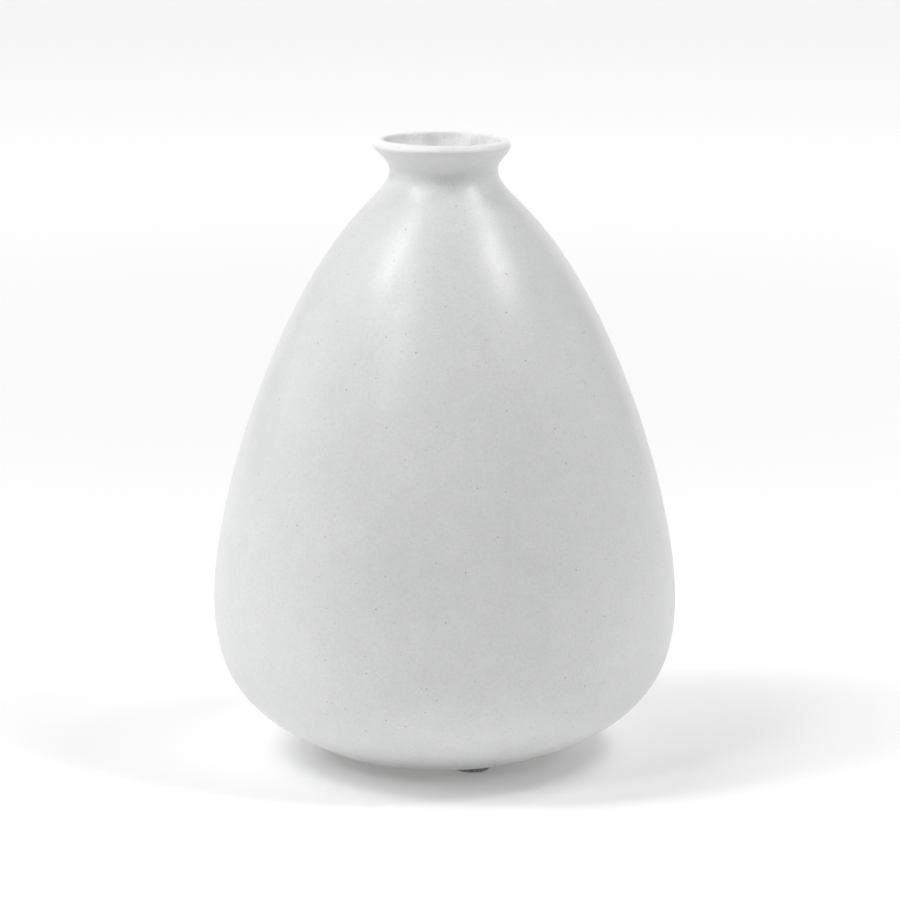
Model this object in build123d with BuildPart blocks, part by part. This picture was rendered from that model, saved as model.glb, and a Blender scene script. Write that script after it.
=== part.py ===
from build123d import *
import os

# Ceramic bud vase: a slip-cast teardrop body with a narrow waist and a flared lip,
# standing on self-adhesive felt pads.
#
# Frame: +Z up along the vase's axis. The origin is on that axis, in the plane that the
# pads stand on, and the front of the vase faces -Y. Millimetres throughout.

# Outside of the ceramic
height = 195.0  # standing plane to the top of the lip
foot_diameter = 73.0  # flat land that the pads stick to
belly_diameter = 145.4  # widest ring of the body
belly_height = 49.5  # standing plane to that ring
waist_diameter = 33.4  # narrowest ring, under the lip
waist_drop = 9.9  # top of the lip down to the waist
lip_diameter = 42.4
lip_drop = 2.4  # top of the lip down to its widest ring
lip_thickness = 3.4

# Walls
wall = 4.5  # body
neck_wall = 3.2  # at the waist
flare_wall = 2.8  # between the waist and the lip
base_thickness = 6.0  # from the land up to the floor of the cavity

# Shallow dish in the underside, inside the land
dish_diameter = 28.0
dish_depth = 1.5

# Felt pads, each stuck on with a film of adhesive
pad_count = 3
pad_diameter = 10.0
pad_thickness = 2.7
pad_edge_radius = 0.8  # soft edge round the standing face
pad_pitch_radius = 25.0  # vase axis to pad centre
pad_first_angle = -70.2  # from +X, so the first pad is a little right of the front
film_thickness = 0.3
film_margin = 0.25  # from the film's edge out to the pad's edge

# The course of the outline between two rings, as pairs of shares: of the way up from
# the lower ring to the upper one, and of the way out from the narrower to the wider.
HEEL_COURSE = [(0.071, 0.208), (0.180, 0.471), (0.34, 0.716), (0.555, 0.897), (0.772, 0.977)]
SHOULDER_COURSE = [
    (0.186, 0.947),
    (0.416, 0.799),
    (0.647, 0.574),
    (0.831, 0.312),
    (0.923, 0.124),
    (0.965, 0.033),
]
FLARE_COURSE = [(0.493, 0.422), (0.747, 0.80)]

# Where the cavity keeps the wall's thickness, as shares along the outline
HEEL_FOLLOWED = [0.82, 0.62, 0.42, 0.27]
SHOULDER_FOLLOWED = [0.89, 0.79, 0.66, 0.50, 0.34, 0.17]
FLARE_FOLLOWED = [0.55]

land_z = pad_thickness + film_thickness
floor_z = land_z + base_thickness
foot_radius = foot_diameter / 2
belly_radius = belly_diameter / 2
waist_radius = waist_diameter / 2
lip_radius = lip_diameter / 2
dish_radius = dish_diameter / 2
waist_z = height - waist_drop
lip_z = height - lip_drop

UP, DOWN, INWARD, OUTWARD = (0, 1), (0, -1), (-1, 0), (1, 0)


def rising(narrow, wide, course, lower, upper):
    """Points of a course between the heights of two rings and between their radii."""
    return [
        (narrow + out * (wide - narrow), lower + up * (upper - lower))
        for up, out in course
    ]


def inside(edge, shares, depth):
    """Points at one depth inside an edge of the outline that runs upwards."""
    points = []
    for share in shares:
        on, along = edge @ share, edge % share
        points.append((on.X - depth * along.Y, on.Y + depth * along.X))
    return points


with BuildPart() as vase_body:
    with BuildSketch(Plane.XZ):
        with BuildLine():
            # Outside, from the foot up over the lip
            heel = Spline(
                (foot_radius, land_z),
                *rising(foot_radius, belly_radius, HEEL_COURSE, land_z, belly_height),
                (belly_radius, belly_height),
                tangents=[(1, 0.4), UP],
            )
            shoulder = Spline(
                (belly_radius, belly_height),
                *rising(waist_radius, belly_radius, SHOULDER_COURSE, belly_height, waist_z),
                (waist_radius, waist_z),
                tangents=[UP, UP],
            )
            flare = Spline(
                (waist_radius, waist_z),
                *rising(waist_radius, lip_radius, FLARE_COURSE, waist_z, lip_z),
                (lip_radius, lip_z),
                tangents=[UP, UP],
            )
            crown = EllipticalCenterArc(
                (lip_radius - lip_thickness / 2, lip_z),
                lip_thickness / 2,
                lip_drop,
                arc_size=180,
            )

            # Inside, from the lip down to the floor of the cavity
            throat = Spline(
                crown @ 1,
                *inside(flare, FLARE_FOLLOWED, flare_wall),
                (waist_radius - neck_wall, waist_z),
                tangents=[DOWN, DOWN],
            )
            cavity_shoulder = Spline(
                throat @ 1,
                *inside(shoulder, SHOULDER_FOLLOWED, wall),
                (belly_radius - wall, belly_height),
                tangents=[DOWN, DOWN],
            )
            cavity_heel = Spline(
                cavity_shoulder @ 1,
                *inside(heel, HEEL_FOLLOWED, wall),
                (foot_radius - base_thickness, floor_z),
                tangents=[DOWN, INWARD],
            )
            Polyline(cavity_heel @ 1, (0, floor_z), (0, land_z + dish_depth))

            # Underside: the dish, then the flat land out to the foot
            dish = TangentArc(
                (0, land_z + dish_depth),
                (dish_radius, land_z),
                tangent=OUTWARD,
            )
            Line(dish @ 1, heel @ 0)
        make_face()
    revolve(axis=Axis.Z)
vase_body.part.label = "vase_body"

pieces = [vase_body.part]
pad_places = PolarLocations(
    pad_pitch_radius, pad_count, start_angle=pad_first_angle
).locations
for number, place in enumerate(pad_places, start=1):
    with BuildPart() as felt_pad:
        with BuildSketch():
            with Locations(place):
                Circle(pad_diameter / 2)
        extrude(amount=pad_thickness)
        fillet(felt_pad.edges().group_by(Axis.Z)[0], radius=pad_edge_radius)
    felt_pad.part.label = f"felt_pad_{number}"

    with BuildPart() as adhesive_film:
        with BuildSketch(Plane.XY.offset(pad_thickness)):
            with Locations(place):
                Circle(pad_diameter / 2 - film_margin)
        extrude(amount=film_thickness)
    adhesive_film.part.label = f"adhesive_film_{number}"

    pieces += [felt_pad.part, adhesive_film.part]

os.makedirs("parts", exist_ok=True)
for piece in pieces:
    export_step(piece, f"parts/{piece.label}.step")
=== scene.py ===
import logging
import math
import random
from dataclasses import dataclass
from enum import Enum
from typing import Callable, Iterable, Sequence

import bmesh
import bpy
import numpy as np
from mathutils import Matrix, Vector, noise


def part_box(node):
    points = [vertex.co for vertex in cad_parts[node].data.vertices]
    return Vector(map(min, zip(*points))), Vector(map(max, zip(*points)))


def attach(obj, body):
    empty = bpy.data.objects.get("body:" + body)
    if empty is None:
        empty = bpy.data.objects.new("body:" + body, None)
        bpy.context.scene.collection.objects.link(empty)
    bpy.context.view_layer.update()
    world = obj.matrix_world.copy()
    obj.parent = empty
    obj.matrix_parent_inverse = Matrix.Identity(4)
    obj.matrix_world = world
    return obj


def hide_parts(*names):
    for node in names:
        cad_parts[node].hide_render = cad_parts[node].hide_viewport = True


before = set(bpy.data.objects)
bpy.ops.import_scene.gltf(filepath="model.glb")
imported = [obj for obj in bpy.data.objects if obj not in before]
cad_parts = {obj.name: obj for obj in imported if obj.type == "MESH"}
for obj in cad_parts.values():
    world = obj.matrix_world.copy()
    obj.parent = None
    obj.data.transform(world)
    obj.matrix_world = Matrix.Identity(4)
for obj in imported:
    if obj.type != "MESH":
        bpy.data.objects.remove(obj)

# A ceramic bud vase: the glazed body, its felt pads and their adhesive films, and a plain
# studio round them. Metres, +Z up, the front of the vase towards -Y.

log = logging.getLogger("bud_vase")

MM = 0.001
MEASURED_FROM = 1e-6  # nearer the axis than this, a point is on it
ROOT_BODY = "root"
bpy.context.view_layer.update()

Ring = tuple[float, float]  # radius and height of a ring of the vase
Slope = tuple[float, float]  # the way of a curve, outwards and up
Course = tuple[tuple[float, float], ...]  # shares of the way up and of the way out
Wave = tuple[float, float]  # size and height of an unevenness
Place = tuple[float, float, float]
Colour = tuple[float, float, float]
Rows = list[list[bmesh.types.BMVert]]


class Layer(Enum):
    """What a face of the vase is covered with."""

    GLAZE = 0
    CLAY = 1
    THIN_GLAZE = 2


class Lamp(Enum):
    """The kinds of light in the studio."""

    SOFTBOX = "AREA"
    OPEN_SKY = "SUN"


# ---------------------------------------------------------------- shader maths


# Sockets of a Mix node that mixes colours
MIX_FACTOR, MIX_UNDER, MIX_OVER, MIX_RESULT = 0, 6, 7, 2


class Term:
    """A shader socket that takes part in Python expressions."""

    def __init__(self, shader: "Shader", socket: bpy.types.NodeSocket) -> None:
        """Wraps an output socket of one material's nodes."""
        self.shader = shader
        self.socket = socket

    def _maths(self, operation: str, *values: "Term | float") -> "Term":
        """Adds one Math node.

        Args:
            operation: the Math node's operation.
            values: its inputs, in order.

        Returns:
            The node's result.
        """
        return self.shader.node(
            "ShaderNodeMath", {"operation": operation}, dict(enumerate(values))
        )

    def __add__(self, other: "Term | float") -> "Term":
        """self + other."""
        return self._maths("ADD", self, other)

    __radd__ = __add__

    def __sub__(self, other: "Term | float") -> "Term":
        """self - other."""
        return self._maths("SUBTRACT", self, other)

    def __rsub__(self, other: float) -> "Term":
        """other - self."""
        return self._maths("SUBTRACT", other, self)

    def __mul__(self, other: "Term | float") -> "Term":
        """self * other."""
        return self._maths("MULTIPLY", self, other)

    __rmul__ = __mul__

    def __lt__(self, other: "Term | float") -> "Term":
        """1 where self is under other, else 0."""
        return self._maths("LESS_THAN", self, other)

    def other(self, output: int | str) -> "Term":
        """Another output of the node that this one comes from."""
        return Term(self.shader, self.socket.node.outputs[output])

    def ramp(self, low: float, high: float) -> "Term":
        """A smooth step.

        Args:
            low: where the step begins at 0.
            high: where it ends at 1.

        Returns:
            The step, from 0 to 1.
        """
        return self.shader.node(
            "ShaderNodeMapRange",
            {"interpolation_type": "SMOOTHSTEP", "clamp": True},
            {"Value": self, "From Min": low, "From Max": high},
        )


class Shader:
    """The node tree of one material, with its Principled shader ready to set."""

    def __init__(self, name: str) -> None:
        """Makes the material.

        Args:
            name: the material's name.
        """
        self.material = bpy.data.materials.new(name)
        self.material.use_nodes = True
        self.tree = self.material.node_tree
        self.surface = next(
            n for n in self.tree.nodes if n.type == "BSDF_PRINCIPLED"
        )

    def node(
        self,
        kind: str,
        settings: dict[str, object] | None = None,
        inputs: dict[int | str, "Term | float | Sequence[float]"] | None = None,
        output: int | str = 0,
    ) -> Term:
        """Adds a node.

        Args:
            kind: the node's type.
            settings: its properties, set first.
            inputs: values or links for its input sockets.
            output: the output socket to return.

        Returns:
            The chosen output.
        """
        made = self.tree.nodes.new(kind)
        for key, value in (settings or {}).items():
            setattr(made, key, value)
        for key, value in (inputs or {}).items():
            self._feed(made.inputs[key], value)
        return Term(self, made.outputs[output])

    def _feed(
        self, socket: bpy.types.NodeSocket, value: "Term | float | Sequence[float]"
    ) -> None:
        """Links or sets one input socket.

        Args:
            socket: the input.
            value: a term to link to it, or a value to set.
        """
        if isinstance(value, Term):
            self.tree.links.new(value.socket, socket)
        else:
            socket.default_value = value

    def set(self, **values: "Term | float | Sequence[float]") -> None:
        """Sets or links sockets of the Principled shader.

        Args:
            values: a value or a term for each socket's name, with _ for a space.
        """
        for key, value in values.items():
            self._feed(self.surface.inputs[key.replace("_", " ")], value)

    def place(self) -> Term:
        """The point on the surface, in metres."""
        return self.node("ShaderNodeTexCoord", output="Object")

    def stretched(self, scale: Place) -> Term:
        """The point on the surface with each axis scaled."""
        return self.node(
            "ShaderNodeVectorMath",
            {"operation": "MULTIPLY"},
            {0: self.place(), 1: scale},
        )

    def clouds(self, at: Term, size: float, detail: float = 3.0) -> Term:
        """Soft noise from 0 to 1.

        Args:
            at: where to read it.
            size: the size of its features, in metres.
            detail: how many finer layers it has.

        Returns:
            The noise.
        """
        return self.node(
            "ShaderNodeTexNoise",
            {"noise_dimensions": "3D"},
            {"Vector": at, "Scale": 1.0 / size, "Detail": detail},
        )

    def dots(
        self, at: Term, spacing: float, radius: float, share: float
    ) -> Term:
        """Small round dots in some of the cells of an uneven grid.

        Args:
            at: where to read them.
            spacing: distance between cells, in metres.
            radius: radius of a dot, in metres.
            share: share of the cells that hold a dot.

        Returns:
            1 in the middle of a dot, falling to 0 at its edge.
        """
        distance = self.node(
            "ShaderNodeTexVoronoi",
            {"feature": "F1"},
            {"Vector": at, "Scale": 1.0 / spacing},
            "Distance",
        )
        pick = self.node("ShaderNodeSeparateColor", None, {0: distance.other("Color")})
        dot = 1 - (distance * spacing).ramp(radius * 0.5, radius)
        return dot * (pick < share)

    def blend(self, mask: Term, under: "Colour | Term", over: "Colour | Term") -> Term:
        """Mixes two colours.

        Args:
            mask: how far to go from the first to the second, from 0 to 1.
            under: the colour where mask is 0.
            over: the colour where mask is 1.

        Returns:
            The mixed colour.
        """
        pair = [c if isinstance(c, Term) else (*c, 1.0) for c in (under, over)]
        return self.node(
            "ShaderNodeMix",
            {"data_type": "RGBA"},
            dict(zip((MIX_FACTOR, MIX_UNDER, MIX_OVER), (mask, *pair))),
            MIX_RESULT,
        )

    def relief(self, height: Term, depth: float) -> Term:
        """A normal from a height.

        Args:
            height: the relief, from 0 to 1.
            depth: the height of 1, in metres.

        Returns:
            The bumped normal.
        """
        return self.node(
            "ShaderNodeBump",
            None,
            {"Height": height, "Distance": depth, "Strength": 1.0},
        )


# ---------------------------------------------------------------- finishes


@dataclass(frozen=True)
class SatinGlaze:
    """A white satin glaze, faintly clouded, with pinholes and small iron specks.

    Its colour is painted lighter along the lip, as painted light on the lip's upward face, and
    darker on the flare under it, as painted shade.
    """

    waist_z: float
    lip_z: float
    # painted light along the lip's upward face
    lip_painted_light: Colour = (0.93, 0.93, 0.93)
    # painted shade on the flare under the lip
    thin: Colour = (0.64, 0.643, 0.645)
    light: Colour = (0.812, 0.815, 0.817)
    dim: Colour = (0.712, 0.716, 0.718)
    speck: Colour = (0.26, 0.25, 0.24)
    pit: Colour = (0.50, 0.50, 0.50)
    roughness: float = 0.29
    roughness_spread: float = 0.08
    broad_size: float = 32 * MM
    patch_size: float = 6.5 * MM
    grain_size: float = 1.1 * MM
    fine_size: float = 0.5 * MM
    relief_depth: float = 0.055 * MM

    def material(self) -> bpy.types.Material:
        """Builds the glaze.

        Returns:
            Its material.
        """
        shader = Shader("satin_white_glaze")
        at = shader.place()
        broad = shader.clouds(at, self.broad_size)
        patch = shader.clouds(at, self.patch_size)
        grain = shader.clouds(at, self.grain_size)
        fine = shader.clouds(at, self.fine_size, 2.0)
        cloud = broad * 0.24 + patch * 0.16 + grain * 0.26 + fine * 0.34
        tone = shader.blend(cloud.ramp(0.30, 0.70), self.dim, self.light)
        height_up = shader.node("ShaderNodeSeparateXYZ", None, {0: at}, "Z")
        height_up += patch * (0.8 * MM)
        # masks, set by height, for the painted shade on the flare and the painted light along
        # the lip
        flare = height_up.ramp(self.waist_z - 3.5 * MM, self.waist_z + 1.5 * MM)
        lip = height_up.ramp(self.lip_z - 0.1 * MM, self.lip_z + 0.9 * MM)
        tone = shader.blend(flare * 0.5, tone, self.thin)
        tone = shader.blend(lip, tone, self.lip_painted_light)
        specks = shader.dots(at, 3.0 * MM, 0.35 * MM, 0.24)
        faint = shader.dots(shader.stretched((1.0, 1.0, 1.3)), 1.9 * MM, 0.30 * MM, 0.36)
        pits = shader.dots(shader.stretched((1.1, 1.0, 0.9)), 1.3 * MM, 0.28 * MM, 0.38)
        pitted = pits * patch.ramp(0.42, 0.58)
        tone = shader.blend(specks * 0.55, tone, self.speck)
        tone = shader.blend(faint * 0.22, tone, self.speck)
        tone = shader.blend(pitted * 0.45, tone, self.pit)
        height = grain * 0.55 + fine * 0.35 - specks * 0.9 - pitted * 1.6
        shader.set(
            Base_Color=tone,
            Roughness=self.roughness + (broad * 0.5 + grain * 0.5) * self.roughness_spread,
            Normal=shader.relief(height, self.relief_depth),
        )
        return shader.material


@dataclass(frozen=True)
class ThinGlaze:
    """The thinner glaze inside the mouth, with the clay showing through in patches."""

    light: Colour = (0.92, 0.92, 0.92)
    dim: Colour = (0.73, 0.73, 0.725)
    pit: Colour = (0.36, 0.35, 0.34)
    roughness: float = 0.36
    roughness_spread: float = 0.12
    patch_size: float = 7 * MM
    grain_size: float = 0.8 * MM
    relief_depth: float = 0.06 * MM

    def material(self) -> bpy.types.Material:
        """Builds the thin glaze.

        Returns:
            Its material.
        """
        shader = Shader("thin_white_glaze")
        at = shader.place()
        patch = shader.clouds(at, self.patch_size, 4.0)
        grain = shader.clouds(at, self.grain_size)
        pits = shader.dots(at, 1.4 * MM, 0.28 * MM, 0.40)
        tone = shader.blend((patch * 0.8 + grain * 0.2).ramp(0.34, 0.56), self.dim, self.light)
        shader.set(
            Base_Color=shader.blend(pits * 0.3, tone, self.pit),
            Roughness=self.roughness + patch * self.roughness_spread,
            Normal=shader.relief(grain + patch - pits, self.relief_depth),
        )
        return shader.material


@dataclass(frozen=True)
class BareClay:
    """Fired clay without glaze, on the land and the dish of the underside."""

    light: Colour = (0.71, 0.70, 0.68)
    dim: Colour = (0.59, 0.58, 0.56)
    grog: Colour = (0.38, 0.34, 0.30)
    roughness: float = 0.86
    roughness_spread: float = 0.1
    broad_size: float = 12 * MM
    grain_size: float = 0.6 * MM
    relief_depth: float = 0.12 * MM

    def material(self) -> bpy.types.Material:
        """Builds the clay.

        Returns:
            Its material.
        """
        shader = Shader("bare_clay")
        at = shader.place()
        broad = shader.clouds(at, self.broad_size, 4.0)
        grain = shader.clouds(at, self.grain_size)
        grog = shader.dots(at, 1.6 * MM, 0.3 * MM, 0.3)
        tone = shader.blend((broad * 0.6 + grain * 0.4).ramp(0.3, 0.7), self.dim, self.light)
        tone = shader.blend(grog * 0.5, tone, self.grog)
        shader.set(
            Base_Color=tone,
            Roughness=self.roughness + grain * self.roughness_spread,
            Normal=shader.relief(grain + grog * 0.6, self.relief_depth),
        )
        return shader.material


@dataclass(frozen=True)
class GreyFelt:
    """Dark grey needled wool felt, with paler fibres through it."""

    dark: Colour = (0.21, 0.214, 0.22)
    middle: Colour = (0.38, 0.385, 0.392)
    pale: Colour = (0.68, 0.685, 0.69)
    roughness: float = 0.95
    sheen: float = 0.35
    sheen_roughness: float = 0.6
    tuft_size: float = 0.9 * MM
    relief_depth: float = 0.2 * MM

    def material(self) -> bpy.types.Material:
        """Builds the felt.

        Returns:
            Its material.
        """
        shader = Shader("grey_felt")
        tufts = shader.clouds(shader.place(), self.tuft_size, 4.0)
        along = shader.clouds(shader.stretched((1.0, 0.25, 0.5)), 0.16 * MM)
        across = shader.clouds(shader.stretched((0.22, 1.0, 0.6)), 0.18 * MM)
        fibres = (along * 0.5 + across * 0.5).ramp(0.46, 0.62)
        tone = shader.blend(tufts.ramp(0.35, 0.65), self.dark, self.middle)
        tone = shader.blend(fibres * 0.75, tone, self.pale)
        shader.set(
            Base_Color=tone,
            Roughness=self.roughness - fibres * 0.08,
            Normal=shader.relief(fibres * 0.5 + tufts * 0.5, self.relief_depth),
            Sheen_Weight=self.sheen,
            Sheen_Roughness=self.sheen_roughness,
        )
        return shader.material


@dataclass(frozen=True)
class AdhesiveAcrylic:
    """A cloudy film of acrylic adhesive with small trapped bubbles."""

    clear: Colour = (0.66, 0.64, 0.57)
    cloudy: Colour = (0.80, 0.79, 0.74)
    bubble: Colour = (0.88, 0.87, 0.84)
    roughness: float = 0.32
    roughness_spread: float = 0.2
    haze_size: float = 2.4 * MM
    relief_depth: float = 0.05 * MM

    def material(self) -> bpy.types.Material:
        """Builds the adhesive.

        Returns:
            Its material.
        """
        shader = Shader("acrylic_adhesive")
        at = shader.place()
        haze = shader.clouds(at, self.haze_size)
        bubbles = shader.dots(at, 0.8 * MM, 0.22 * MM, 0.45)
        tone = shader.blend(haze.ramp(0.35, 0.65), self.clear, self.cloudy)
        shader.set(
            Base_Color=shader.blend(bubbles * 0.5, tone, self.bubble),
            Roughness=self.roughness + haze * self.roughness_spread,
            Normal=shader.relief(bubbles, self.relief_depth),
        )
        return shader.material


@dataclass(frozen=True)
class PalePaper:
    """The plain pale sweep that the vase stands on, with a painted glow that lights the vase a
    little from beneath, dimmer round the foot as a painted contact shadow and brighter far out
    as painted light.
    """

    tone: Colour = (0.90, 0.90, 0.90)
    # painted glow: dim round the foot as a painted contact shadow, middling further out, then
    # bright far out as painted light
    near: float = 0.16
    round_about: float = 0.23
    far: float = 0.58
    roughness: float = 0.95
    gloss: float = 0.1
    grain_size: float = 6 * MM
    # where the painted contact shadow round the foot and the painted light far out begin and
    # end
    foot_painted_shadow_reach: tuple[float, float] = (0.03, 0.11)
    far_painted_light_reach: tuple[float, float] = (0.15, 1.6)

    def material(self) -> bpy.types.Material:
        """Builds the paper.

        Returns:
            Its material.
        """
        shader = Shader("pale_paper")
        grain = shader.clouds(shader.place(), self.grain_size)
        out = shader.node(
            "ShaderNodeVectorMath", {"operation": "LENGTH"}, {0: shader.place()}, "Value"
        )
        greys = [(level, level, level) for level in (self.near, self.round_about, self.far)]
        # painted glow: dim round the foot as a painted contact shadow, brighter far out as
        # painted light
        painted_glow = shader.blend(out.ramp(*self.foot_painted_shadow_reach), greys[0], greys[1])
        painted_glow = shader.blend(out.ramp(*self.far_painted_light_reach), painted_glow, greys[2])
        shader.set(
            Base_Color=shader.blend(grain, tuple(c * 0.99 for c in self.tone), self.tone),
            Roughness=self.roughness,
            Specular_IOR_Level=self.gloss,
            Emission_Color=painted_glow,
            Emission_Strength=1.0,
        )
        return shader.material


# ---------------------------------------------------------------- curves


def smooth_step(low: float, high: float, value: float) -> float:
    """A step from 0 at low to 1 at high, smooth at both ends."""
    share = min(max((value - low) / (high - low), 0.0), 1.0)
    return share * share * (3.0 - 2.0 * share)


def uneven(spot: Vector, wave: Wave) -> float:
    """The height of an unevenness at a point."""
    return noise.noise(spot / wave[0]) * wave[1]


def smooth_curve(
    rings: Sequence[Ring], start: Slope, end: Slope, spacing: float
) -> list[Ring]:
    """Points along the smooth curve through some rings.

    Args:
        rings: the rings that the curve goes through.
        start: the curve's direction at the first ring.
        end: its direction at the last ring.
        spacing: the distance between points, about, in metres.

    Returns:
        Points from the first ring to the last.
    """
    points = np.array(rings, float)
    steps = np.linalg.norm(np.diff(points, axis=0), axis=1)
    count = len(points)
    system = np.eye(count)
    slopes = np.zeros((count, 2))
    slopes[0] = np.array(start) / np.linalg.norm(start)
    slopes[-1] = np.array(end) / np.linalg.norm(end)
    for i in range(1, count - 1):
        before, after = steps[i - 1], steps[i]
        system[i, i - 1 : i + 2] = (after, 2 * (before + after), before)
        rise_before = (points[i] - points[i - 1]) / before
        rise_after = (points[i + 1] - points[i]) / after
        slopes[i] = 3 * (after * rise_before + before * rise_after)
    tangents = np.linalg.solve(system, slopes)
    out: list[Ring] = []
    for i, step in enumerate(steps):
        shares = np.linspace(0.0, 1.0, max(2, math.ceil(step / spacing)) + 1)
        for t in shares[(1 if i else 0):]:
            spot = (
                (2 * t**3 - 3 * t**2 + 1) * points[i]
                + (t**3 - 2 * t**2 + t) * step * tangents[i]
                + (3 * t**2 - 2 * t**3) * points[i + 1]
                + (t**3 - t**2) * step * tangents[i + 1]
            )
            out.append((float(spot[0]), float(spot[1])))
    return out


def between(narrow: Ring, wide: Ring, course: Course, rising: bool) -> list[Ring]:
    """Rings at shares of the height and of the radius between two rings.

    Args:
        narrow: the narrower ring.
        wide: the wider ring.
        course: pairs of shares, of the way up and of the way out.
        rising: True if the wider ring is the upper one.

    Returns:
        The rings, in the order of the course.
    """
    lower, upper = (narrow, wide) if rising else (wide, narrow)
    return [
        (
            narrow[0] + out * (wide[0] - narrow[0]),
            lower[1] + up * (upper[1] - lower[1]),
        )
        for up, out in course
    ]


def inset(curve: Sequence[Ring], depth: Callable[[Ring], float]) -> list[Ring]:
    """Moves a curve to its left, square to itself.

    Args:
        curve: the curve's points.
        depth: how far to move it, at a point of it.

    Returns:
        The moved points.
    """
    points = np.array(curve, float)
    along = np.gradient(points, axis=0)
    along /= np.linalg.norm(along, axis=1)[:, None]
    return [
        (float(p[0] - depth(tuple(p)) * a[1]), float(p[1] + depth(tuple(p)) * a[0]))
        for p, a in zip(points, along)
    ]


# ---------------------------------------------------------------- meshes


def turn_rings(
    mesh: bmesh.types.BMesh,
    rings: Sequence[Ring],
    sectors: int,
    settle: Callable[[Vector], Vector] = Vector,
) -> Rows:
    """Turns rings round the axis into closed rows of points.

    Args:
        mesh: the mesh that takes the points.
        rings: the rings.
        sectors: how many points a row has.
        settle: moves a point of the true form, which stays true without it.

    Returns:
        A row for each ring.
    """
    turns = [2 * math.pi * s / sectors for s in range(sectors)]
    return [
        [
            mesh.verts.new(settle(Vector((radius * math.cos(a), radius * math.sin(a), z))))
            for a in turns
        ]
        for radius, z in rings
    ]


def join_rows(mesh: bmesh.types.BMesh, rows: Rows) -> list[list[bmesh.types.BMFace]]:
    """Puts smooth faces between closed rows of points.

    Args:
        mesh: the mesh that the points are in.
        rows: the rows, each with the same number of points.

    Returns:
        The faces between each two rows.
    """
    bands = []
    for lower, upper in zip(rows, rows[1:]):
        following = zip(lower, lower[1:] + lower[:1], upper[1:] + upper[:1], upper)
        bands.append([mesh.faces.new(corners) for corners in following])
        for face in bands[-1]:
            face.smooth = True
    return bands


def close_row(
    mesh: bmesh.types.BMesh, row: list[bmesh.types.BMVert], middle: Vector
) -> list[bmesh.types.BMFace]:
    """Closes a row of points with a fan of smooth faces.

    Args:
        mesh: the mesh that the points are in.
        row: the points.
        middle: the middle of the fan.

    Returns:
        The fan's faces.
    """
    tip = mesh.verts.new(middle)
    fan = [mesh.faces.new((tip, *edge)) for edge in zip(row, row[1:] + row[:1])]
    for face in fan:
        face.smooth = True
    return fan


def cover(faces: Iterable[bmesh.types.BMFace], layer: Layer) -> None:
    """Covers faces of the vase with a layer."""
    for face in faces:
        face.material_index = layer.value


def place_mesh(mesh: bmesh.types.BMesh, name: str) -> bpy.types.Object:
    """Turns a mesh into an object of the scene.

    Args:
        mesh: the mesh, which is used up.
        name: the object's name.

    Returns:
        The object.
    """
    data = bpy.data.meshes.new(name)
    mesh.to_mesh(data)
    mesh.free()
    piece = bpy.data.objects.new(name, data)
    bpy.context.collection.objects.link(piece)
    return piece


# ---------------------------------------------------------------- the vase


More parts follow.
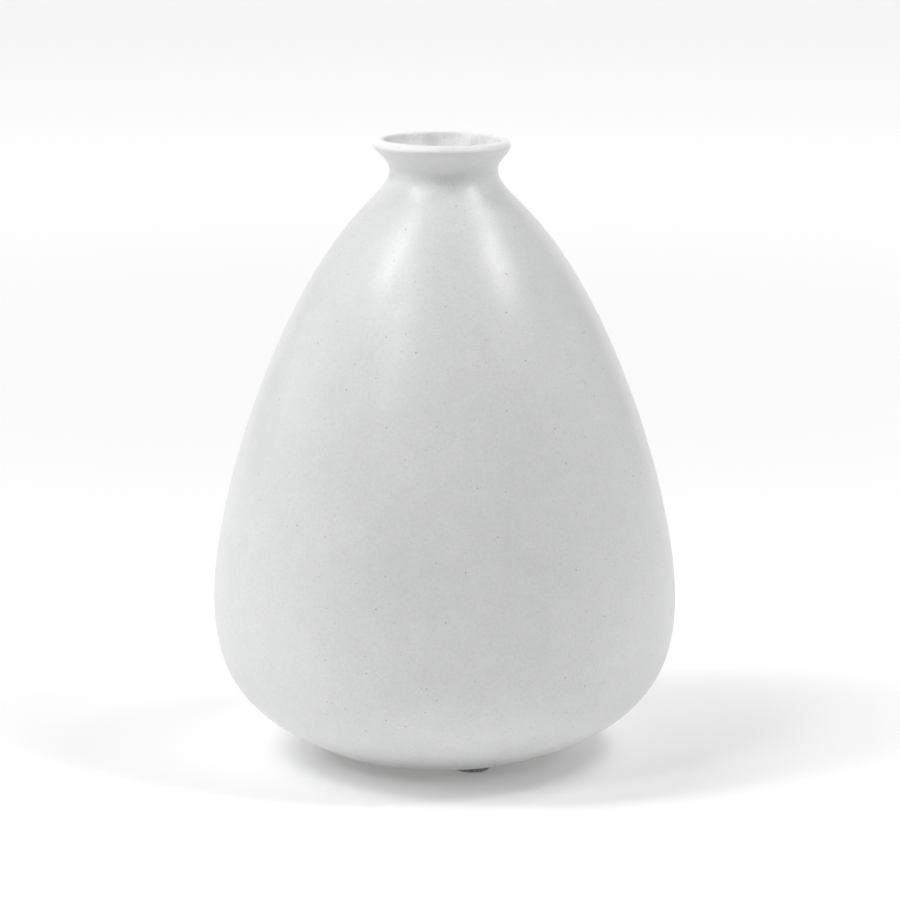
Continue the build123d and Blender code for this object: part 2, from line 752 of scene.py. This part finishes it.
@dataclass
class VaseBody:
    """The cast and glazed body, with the small faults that handwork leaves in it."""

    node: str = "vase_body"
    foot_radius: float = 36.5 * MM
    belly_height: float = 49.5 * MM
    waist_radius: float = 16.7 * MM
    waist_drop: float = 9.9 * MM
    lip_radius: float = 21.2 * MM
    lip_drop: float = 2.4 * MM
    lip_rise: float = 1.75 * MM  # the lip's widest ring up to its worn top
    lip_slope: float = 2.2 * MM  # the lip's widest ring in to its top
    wall: float = 4.5 * MM
    neck_wall: float = 3.2 * MM
    base_thickness: float = 6.0 * MM
    dish_radius: float = 14.0 * MM
    dish_depth: float = 1.5 * MM
    sectors: int = 288
    ring_spacing: float = 1.5 * MM
    heel_spacing: float = 1.0 * MM
    fine_spacing: float = 0.5 * MM
    neck_lean: float = 0.3 * MM  # to the left at the waist
    lip_lean: float = 0.35 * MM  # further left at the lip
    foot_slip: float = 1.2 * MM  # the land's middle, to the left of the axis
    nick_turn: float = 33.0  # degrees from +X round to the nick in the lip
    nick_width: float = 0.9 * MM
    nick_depth: float = 0.45 * MM
    foot_roll: float = 0.14 * MM  # the glaze's rolled edge round the foot
    left_bead: float = 0.34 * MM  # the lip's bead, fuller on the left
    right_bead: float = 0.22 * MM  # and sharper on the right
    lip_tilt: float = 0.22 * MM  # the lip's left side up, and its right side down
    lip_wander: float = 0.2 * MM  # the slow rise and fall round the lip
    waves: tuple[Wave, ...] = (
        (38 * MM, 0.12 * MM), (13 * MM, 0.05 * MM), (4.2 * MM, 0.022 * MM),
    )
    flare_wave: Wave = (3.0 * MM, 0.09 * MM)
    rim_wave: Wave = (0.9 * MM, 0.07 * MM)
    heel_course: Course = (
        (0.071, 0.208), (0.180, 0.471), (0.34, 0.716), (0.555, 0.897), (0.772, 0.977),
    )
    shoulder_course: Course = (
        (0.186, 0.947), (0.416, 0.799), (0.647, 0.574),
        (0.831, 0.312), (0.923, 0.124), (0.965, 0.033),
    )
    flare_course: Course = ((0.493, 0.422), (0.747, 0.80))
    throat_course: Course = ((0.62, 0.60), (0.26, 0.19))

    def __post_init__(self) -> None:
        """Reads the places of the foot, the belly and the top from the frame."""
        low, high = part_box(self.node)
        self.land_z = low.z
        self.top_z = high.z
        self.belly_radius = (high.x - low.x) / 2
        self.waist_z = self.top_z - self.waist_drop
        self.lip_z = self.top_z - self.lip_drop

    def outside(self) -> list[Ring]:
        """Draws the outline from the foot up to the lip's widest ring.

        Returns:
            Its rings.
        """
        foot = (self.foot_radius, self.land_z)
        belly = (self.belly_radius, self.belly_height)
        waist = (self.waist_radius, self.waist_z)
        lip = (self.lip_radius, self.lip_z)
        up = (0.0, 1.0)
        heel = smooth_curve(
            [foot, *between(foot, belly, self.heel_course, True), belly],
            (1.0, 0.4), up, self.heel_spacing,
        )
        shoulder = smooth_curve(
            [belly, *between(waist, belly, self.shoulder_course, False), waist],
            up, up, self.ring_spacing,
        )
        flare = smooth_curve(
            [waist, *between(waist, lip, self.flare_course, True), lip],
            up, up, self.fine_spacing,
        )
        return heel + shoulder[1:] + flare[1:]

    def crown(self) -> list[Ring]:
        """Draws the sloping top of the lip, from its widest ring in to its highest.

        Returns:
            Its rings.
        """
        count = 9
        return [
            (
                self.lip_radius - self.lip_slope * (1 - math.cos(math.pi / 2 * i / count)),
                self.lip_z + self.lip_rise * math.sin(math.pi / 2 * i / count),
            )
            for i in range(1, count + 1)
        ]

    def throat(self, top: Ring) -> list[Ring]:
        """Draws the inner slope of the mouth, down to the waist.

        Args:
            top: the lip's highest ring.

        Returns:
            Its rings.
        """
        waist = (self.waist_radius - self.neck_wall, self.waist_z)
        edge = (top[0] - 0.65 * MM, top[1] - 0.6 * MM)
        fall, run = edge[1] - waist[1], edge[0] - waist[0]
        slope = [(waist[0] + run * out, waist[1] + fall * up) for up, out in self.throat_course]
        return smooth_curve(
            [top, edge, *slope, waist], (-1.0, -0.05), (0.0, -1.0), self.fine_spacing
        )[1:]

    def thickness(self, ring: Ring) -> float:
        """The wall at a ring of the outside."""
        return self.wall + (self.neck_wall - self.wall) * smooth_step(
            self.waist_z - 22 * MM, self.waist_z, ring[1]
        )

    def inside(self, outline: Sequence[Ring]) -> list[Ring]:
        """Draws the cavity, from below the waist down to the middle of its floor.

        Args:
            outline: the rings of the outside.

        Returns:
            Its rings.
        """
        floor_z = self.land_z + self.base_thickness
        upward = [r for r in outline if r[1] < self.waist_z - 0.2 * MM]
        wall = [
            r for i, r in enumerate(inset(upward, self.thickness))
            if r[1] > floor_z + 3.2 * MM and (i % 2 == 0 or r[1] > self.waist_z - 8 * MM)
        ]
        wall.reverse()
        floor_radius = self.foot_radius - self.base_thickness
        corner = smooth_curve(
            [wall[-1], (floor_radius, floor_z)],
            (wall[-1][0] - wall[-2][0], wall[-1][1] - wall[-2][1]),
            (-1.0, 0.0), self.ring_spacing,
        )
        floor = [(floor_radius * share, floor_z) for share in (0.8, 0.6, 0.4, 0.2)]
        return wall + corner[1:] + floor

    def underside(self) -> list[Ring]:
        """Draws the dish and the land, from near the axis out to the foot.

        Returns:
            Their rings.
        """
        count = 8
        dish = [
            (
                self.dish_radius * i / count,
                self.land_z + self.dish_depth * (1 - (i / count) ** 2),
            )
            for i in range(1, count + 1)
        ]
        reach = self.foot_radius - self.dish_radius
        land = [
            (self.dish_radius + reach * share, self.land_z)
            for share in (0.15, 0.3, 0.45, 0.6, 0.75, 0.88, 0.96)
        ]
        return dish + land

    def lean(self, z: float) -> float:
        """Finds how far the vase stands off its axis.

        Args:
            z: a height.

        Returns:
            How far to move its points along x.
        """
        off = -self.neck_lean * smooth_step(self.waist_z - 30 * MM, self.waist_z, z)
        off -= self.lip_lean * smooth_step(self.waist_z, self.lip_z, z)
        return off - self.foot_slip * (
            1 - smooth_step(self.land_z, self.land_z + 5 * MM, z)
        )

    def swell(self, spot: Vector, around: Vector, radius: float) -> float:
        """Finds how far the surface stands out from the true form.

        Args:
            spot: the point of the true form.
            around: the way out from the axis at that point.
            radius: its distance from the axis.

        Returns:
            How far to move the point along around.
        """
        high = smooth_step(self.waist_z, self.lip_z, spot.z)
        out = sum(uneven(spot, wave) for wave in self.waves)
        out += uneven(spot, self.flare_wave) * high
        out *= smooth_step(self.land_z, self.land_z + 3 * MM, spot.z)
        if radius > self.foot_radius - 1 * MM:
            roll = math.exp(-(((spot.z - self.land_z - 0.9 * MM) / (0.6 * MM)) ** 2))
            out += self.foot_roll * roll * (1 + 0.5 * noise.noise(around * 6.0))
        if radius > self.lip_radius - 1.4 * MM:
            bead = math.exp(-(((spot.z - self.lip_z + 0.5 * MM) / (1.2 * MM)) ** 2))
            fuller = self.left_bead if around.x < 0 else self.right_bead
            out -= bead * fuller * around.x
        return out

    def heave(self, spot: Vector, around: Vector, radius: float) -> float:
        """Finds how far the lip stands over the true form.

        Args:
            spot: the point of the true form.
            around: the way out from the axis at that point.
            radius: its distance from the axis.

        Returns:
            How far to move the point up.
        """
        high = smooth_step(self.waist_z, self.lip_z, spot.z)
        rim = smooth_step(self.lip_z - 0.8 * MM, self.lip_z + 0.8 * MM, spot.z)
        up = self.lip_tilt * -around.x * high
        up += noise.noise(around * 2.3 + Vector((7.0, 0, 0))) * self.lip_wander * high
        up += uneven(spot, self.rim_wave) * rim
        turn = math.radians(self.nick_turn)
        away = (around - Vector((math.cos(turn), math.sin(turn), 0.0))).length * radius
        return up - self.nick_depth * rim * math.exp(-((away / self.nick_width) ** 2))

    def settle(self, spot: Vector) -> Vector:
        """Moves a point of the true form to where it lies on this vase.

        Args:
            spot: the point.

        Returns:
            The point on the finished vase.
        """
        radius = math.hypot(spot.x, spot.y)
        if radius < MEASURED_FROM:
            return Vector((self.lean(spot.z), 0.0, spot.z))
        around = Vector((spot.x / radius, spot.y / radius, 0.0))
        moved = spot + around * self.swell(spot, around, radius)
        moved.x += self.lean(spot.z)
        moved.z = min(spot.z + self.heave(spot, around, radius), self.top_z)
        return moved

    def build(self) -> bpy.types.Object:
        """Turns the outline round the axis and settles it into the vase's own shape.

        Returns:
            The body's object.
        """
        below = self.underside()
        outline = self.outside()
        crown = self.crown()
        throat = self.throat(crown[-1])
        within = self.inside(outline)
        upper = [ring for ring in within if ring[1] >= self.belly_height]
        deep = within[len(upper):]
        glazed_from = len(below) + 1
        inner_from = len(below) + len(outline) + len(crown)
        mesh = bmesh.new()
        worn = below + outline + crown + throat + upper
        rows = turn_rings(mesh, worn, self.sectors, self.settle)
        rows += turn_rings(mesh, deep, self.sectors)
        for number, band in enumerate(join_rows(mesh, rows)):
            layer = Layer.CLAY if number < glazed_from else Layer.GLAZE
            cover(band, Layer.THIN_GLAZE if number > inner_from else layer)
        dish_top = Vector((-self.foot_slip, 0, self.land_z + self.dish_depth))
        floor_middle = Vector((0, 0, self.land_z + self.base_thickness))
        cover(close_row(mesh, rows[0], dish_top), Layer.CLAY)
        cover(close_row(mesh, rows[-1], floor_middle), Layer.THIN_GLAZE)
        bmesh.ops.recalc_face_normals(mesh, faces=mesh.faces)
        return place_mesh(mesh, "glazed_body")

    def dress(self, body: bpy.types.Object) -> None:
        """Puts the finishes on, and ties the body to the frame.

        Args:
            body: the body's object.
        """
        glaze = SatinGlaze(self.waist_z, self.lip_z)
        for finish in (glaze, BareClay(), ThinGlaze()):
            body.data.materials.append(finish.material())
        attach(body, ROOT_BODY)
        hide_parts(self.node)


# ---------------------------------------------------------------- pads and films


@dataclass
class Disc:
    """A round flat piece under the foot, at the place of its CAD node."""

    number: int
    node_kind: str
    name: str
    slot: str
    sectors: int = 72
    spread: float = 0.0  # how far it reaches past its CAD node all round

    def __post_init__(self) -> None:
        """Reads the piece's place and size from the frame."""
        self.node = f"{self.node_kind}_{self.number}"
        low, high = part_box(self.node)
        self.middle = Vector(((low.x + high.x) / 2, (low.y + high.y) / 2, 0.0))
        self.radius = (high.x - low.x) / 2 + self.spread
        self.low_z, self.high_z = low.z, high.z

    def outline(self) -> list[Ring]:
        """The rings from inside the underside round the edge to inside the top."""
        raise NotImplementedError

    def settle(self, spot: Vector) -> Vector:
        """Where a point of the true disc lies."""
        raise NotImplementedError

    def trim(self, mesh: bmesh.types.BMesh) -> None:
        """Adds whatever else the piece has to its mesh."""

    def build(self) -> bpy.types.Object:
        """Makes the piece as one mesh.

        Returns:
            The piece's object.
        """
        mesh = bmesh.new()
        rows = turn_rings(mesh, self.outline(), self.sectors, self.settle)
        join_rows(mesh, rows)
        close_row(mesh, rows[0], self.middle + Vector((0, 0, self.low_z)))
        close_row(mesh, rows[-1], self.middle + Vector((0, 0, self.high_z)))
        self.trim(mesh)
        bmesh.ops.recalc_face_normals(mesh, faces=mesh.faces)
        return place_mesh(mesh, f"{self.name}_{self.number}")

    def dress(self, piece: bpy.types.Object, material: bpy.types.Material) -> None:
        """Puts the finish on, and ties the piece to the frame.

        Args:
            piece: the piece's object.
            material: its finish.
        """
        piece.data.materials.append(material)
        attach(piece, ROOT_BODY)
        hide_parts(self.node)


@dataclass
class FeltPad(Disc):
    """One stick-on felt pad: a soft-edged disc of felt with loose fibres round it."""

    node_kind: str = "felt_pad"
    name: str = "soft_pad"
    slot: str = "grey_felt"
    spread: float = 0.7 * MM  # the vase's weight presses the felt outwards
    edge_radius: float = 0.7 * MM
    side_hollow: float = 0.06 * MM
    ruffle: float = 0.09 * MM
    tuft_height: float = 0.10 * MM
    fibre_count: int = 230
    fibre_width: float = 0.035 * MM
    fibre_steps: int = 4
    fibre_sides: int = 3
    first_seed: int = 40

    def outline(self) -> list[Ring]:
        """Draws the pad's side with its soft lower edge.

        Returns:
            Its rings.
        """
        flat = self.radius - self.edge_radius
        under = [(flat * share, self.low_z) for share in (0.2, 0.4, 0.6, 0.8, 1.0)]
        corner = [
            (
                flat + self.edge_radius * math.sin(a),
                self.low_z + self.edge_radius * (1 - math.cos(a)),
            )
            for a in (math.pi / 12 * i for i in range(1, 7))
        ]
        rise = self.high_z - self.low_z - self.edge_radius
        side = [
            (
                self.radius - self.side_hollow * math.sin(math.pi * i / 6),
                corner[-1][1] + rise * i / 6,
            )
            for i in range(1, 7)
        ]
        top = [(self.radius * share, self.high_z) for share in (0.85, 0.6, 0.3)]
        return under + corner + side + top

    def settle(self, spot: Vector) -> Vector:
        """Moves a point of the disc as the felt's tufts do, within the disc's height.

        Args:
            spot: the point, from the pad's own axis.

        Returns:
            The point on the felt.
        """
        outward = Vector((spot.x, spot.y, 0.0)).normalized()
        moved = self.middle + spot
        bump = noise.noise(moved / (0.7 * MM)) + 0.5 * noise.noise(moved / (0.3 * MM))
        lift = max(0.0, noise.noise(moved / (0.5 * MM))) * self.tuft_height
        at_top = smooth_step(self.high_z - 0.3 * MM, self.high_z, spot.z)
        moved += outward * (self.ruffle * (bump - 0.8))
        moved.z = min(max(spot.z + lift * (1 - at_top), self.low_z), self.high_z)
        return moved

    def add_fibre(self, mesh: bmesh.types.BMesh, draw: random.Random) -> None:
        """Adds one loose fibre, a thin closed tube that curls off the pad's side.

        Args:
            mesh: the pad's mesh.
            draw: where its chances come from.
        """
        angle = draw.uniform(0, 2 * math.pi)
        outward = Vector((math.cos(angle), math.sin(angle), 0.0))
        sideways = Vector((-outward.y, outward.x, 0.0))
        upward = Vector((0, 0, 1))
        height = draw.uniform(self.low_z + 0.25 * MM, self.high_z - 0.25 * MM)
        edge = self.radius - 0.2 * MM
        edge -= 0.35 * max(0.0, self.low_z + self.edge_radius - height)
        start = self.middle + outward * edge + upward * height
        reach = draw.uniform(0.12, 0.38) * MM
        swing = draw.uniform(-0.9, 0.9) * MM
        sag = draw.uniform(-0.35, 0.15) * MM
        rows: Rows = []
        for share in (i / self.fibre_steps for i in range(self.fibre_steps + 1)):
            curl = reach * math.sin(share * math.pi * 0.75) + 0.1 * MM * share
            spot = start + outward * curl + sideways * (swing * share)
            spot.z = max(spot.z + sag * share * share, self.low_z + 0.04 * MM)
            width = self.fibre_width * (1 - 0.6 * share)
            turns = (2 * math.pi * c / self.fibre_sides for c in range(self.fibre_sides))
            ring = (outward * math.cos(t) + upward * math.sin(t) for t in turns)
            rows.append([mesh.verts.new(spot + around * width) for around in ring])
        join_rows(mesh, rows)
        mesh.faces.new(rows[0][::-1])
        mesh.faces.new(rows[-1])

    def trim(self, mesh: bmesh.types.BMesh) -> None:
        """Adds the loose fibres.

        Args:
            mesh: the pad's mesh.
        """
        draw = random.Random(self.first_seed + self.number)
        for _ in range(self.fibre_count):
            self.add_fibre(mesh, draw)

    def dress(self, piece: bpy.types.Object, material: bpy.types.Material) -> None:
        """Does what any disc needs."""
        super().dress(piece, material)


@dataclass
class AdhesiveFilm(Disc):
    """The film of adhesive over one pad, with an uneven pressed-out edge."""

    node_kind: str = "adhesive_film"
    name: str = "pressed_film"
    slot: str = "adhesive"
    sectors: int = 96
    edge_wander: float = 0.12 * MM

    def outline(self) -> list[Ring]:
        """Draws the film's rounded edge.

        Returns:
            Its rings.
        """
        half = (self.high_z - self.low_z) / 2
        level = (self.high_z + self.low_z) / 2
        rim = [
            (self.radius - half * (1 - math.cos(a)), level + half * math.sin(a))
            for a in (math.pi / 8 * i for i in range(-4, 5))
        ]
        inner = self.radius * 0.5
        return [(inner, self.low_z), *rim, (inner, self.high_z)]

    def settle(self, spot: Vector) -> Vector:
        """Moves a point of the disc so that the edge wanders.

        Args:
            spot: the point, from the film's own axis.

        Returns:
            The point on the film.
        """
        flat = Vector((spot.x, spot.y, 0.0))
        around = flat.normalized()
        wander = noise.noise(around * 3.1 + Vector((self.number * 5.0, 0, 0))) - 0.6
        return self.middle + spot + flat * (self.edge_wander * wander / self.radius)


# ---------------------------------------------------------------- the studio


@dataclass(frozen=True)
class StudioLight:
    """One light, aimed at the vase. Azimuth 0 is in front, and grows to the right."""

    name: str
    lamp: Lamp
    azimuth: float
    elevation: float
    strength: float
    distance: float = 1.4
    width: float = 0.25
    height: float = 0.30
    softness: float = 70.0

    def build(self, aim: Vector) -> bpy.types.Object:
        """Makes the light.

        Args:
            aim: the point that it faces.

        Returns:
            The light's object.
        """
        data = bpy.data.lights.new(self.name, self.lamp.value)
        data.energy = self.strength
        if self.lamp is Lamp.SOFTBOX:
            data.shape = "RECTANGLE"
            data.size, data.size_y = self.width, self.height
        else:
            data.angle = math.radians(self.softness)
        light = bpy.data.objects.new(self.name, data)
        bpy.context.collection.objects.link(light)
        turn, rise = math.radians(self.azimuth), math.radians(self.elevation)
        away = Vector((
            math.sin(turn) * math.cos(rise),
            -math.cos(turn) * math.cos(rise),
            math.sin(rise),
        ))
        light.location = aim + away * self.distance
        light.rotation_euler = away.to_track_quat("Z", "Y").to_euler()
        light.visible_camera = False
        return light


@dataclass
class Studio:
    """The pale floor, the white surround, the lights and the camera."""

    floor_radius: float = 8.0
    floor_gap: float = 0.05 * MM  # under the pads, so that the two faces stay apart
    surround_radius: float = 12.0
    room_tone: float = 0.0
    surround_tone: float = 1.0
    camera_distance: float = 1.2023
    camera_pitch: float = 11.49
    aim_height: float = 96.5 * MM
    lens: float = 153.6
    sensor_width: float = 36.0
    sight: float = 40.0  # how far the camera sees, past the surround
    shift_right: float = 0.0059
    lights: tuple[StudioLight, ...] = (
        StudioLight("rear_scrim_low", Lamp.OPEN_SKY, 180.0, 12.0, 0.92),
        StudioLight("rear_scrim_left", Lamp.OPEN_SKY, -120.0, 45.0, 0.777),
        StudioLight("rear_scrim_right", Lamp.OPEN_SKY, 135.0, 6.0, 0.27),
        StudioLight("left_scrim", Lamp.OPEN_SKY, -90.0, 12.0, 0.485),
        StudioLight("right_scrim", Lamp.OPEN_SKY, 90.0, 3.0, 0.54),
        StudioLight("right_softbox", Lamp.SOFTBOX, 70.0, 52.0, 4.76),
        StudioLight("right_softbox_high", Lamp.SOFTBOX, 94.0, 60.0, 2.4),
        StudioLight("left_softbox", Lamp.SOFTBOX, -72.0, 50.0, 3.93),
        StudioLight("left_softbox_high", Lamp.SOFTBOX, -72.0, 62.0, 2.07),
        StudioLight("left_fill", Lamp.SOFTBOX, -40.0, 45.0, 3.40, width=0.3, height=0.7),
    )

    def build_floor(self) -> None:
        """Makes the round floor, level with the pads' undersides."""
        mesh = bmesh.new()
        bmesh.ops.create_circle(mesh, cap_ends=True, segments=96, radius=self.floor_radius)
        floor = place_mesh(mesh, "studio_floor")
        floor.location.z = -self.floor_gap
        floor.data.materials.append(PalePaper().material())

    def build_surround(self) -> None:
        """Makes the white surround that only the camera sees."""
        mesh = bmesh.new()
        bmesh.ops.create_uvsphere(
            mesh, u_segments=48, v_segments=24, radius=self.surround_radius
        )
        surround = place_mesh(mesh, "white_surround")
        shader = Shader("surround_white")
        shader.set(
            Base_Color=(0.0, 0.0, 0.0, 1.0),
            Specular_IOR_Level=0.0,
            Emission_Color=(1.0, 1.0, 1.0, 1.0),
            Emission_Strength=self.surround_tone,
        )
        surround.data.materials.append(shader.material)
        for sees in ("diffuse", "glossy", "transmission", "volume_scatter", "shadow"):
            setattr(surround, f"visible_{sees}", False)

    def build_room(self) -> None:
        """Sets the room's own light, which is off beside the lamps."""
        world = bpy.data.worlds.new("room")
        world.use_nodes = True
        backdrop = world.node_tree.nodes["Background"]
        backdrop.inputs["Color"].default_value = (1.0, 1.0, 1.0, 1.0)
        backdrop.inputs["Strength"].default_value = self.room_tone
        bpy.context.scene.world = world

    def build_camera(self) -> None:
        """Sets up the camera, a little above the vase and looking down at it."""
        data = bpy.data.cameras.new("studio_camera")
        data.lens = self.lens
        data.sensor_width = self.sensor_width
        data.shift_x = self.shift_right
        data.clip_end = self.sight
        camera = bpy.data.objects.new("studio_camera", data)
        bpy.context.collection.objects.link(camera)
        pitch = math.radians(self.camera_pitch)
        camera.location = (
            0.0,
            -self.camera_distance * math.cos(pitch),
            self.aim_height + self.camera_distance * math.sin(pitch),
        )
        camera.rotation_euler = (math.pi / 2 - pitch, 0.0, 0.0)
        bpy.context.scene.camera = camera

    def build(self) -> None:
        """Builds the whole studio."""
        self.build_floor()
        self.build_surround()
        self.build_room()
        low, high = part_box("vase_body")
        aim = Vector((0.0, 0.0, (low.z + high.z) / 2))
        for light in self.lights:
            light.build(aim)
        self.build_camera()
        view = bpy.context.scene.view_settings
        view.view_transform = "Standard"
        view.look = "None"


# ---------------------------------------------------------------- everything


def main() -> None:
    """Builds the vase, its pads and films, and the studio."""
    logging.basicConfig(level=logging.INFO, format="%(name)s: %(message)s")
    vase = VaseBody()
    body = vase.build()
    vase.dress(body)
    log.info("built %s with %d faces", body.name, len(body.data.polygons))
    felt = GreyFelt().material()
    adhesive = AdhesiveAcrylic().material()
    pads = [name for name in sorted(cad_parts) if name.startswith("felt_pad_")]
    for number in range(1, len(pads) + 1):
        for maker, material in ((FeltPad(number), felt), (AdhesiveFilm(number), adhesive)):
            piece = maker.build()
            maker.dress(piece, material)
            log.info("built %s with %d faces", piece.name, len(piece.data.polygons))
    Studio().build()
    log.info("built the studio")


if __name__ == "__main__":
    main()
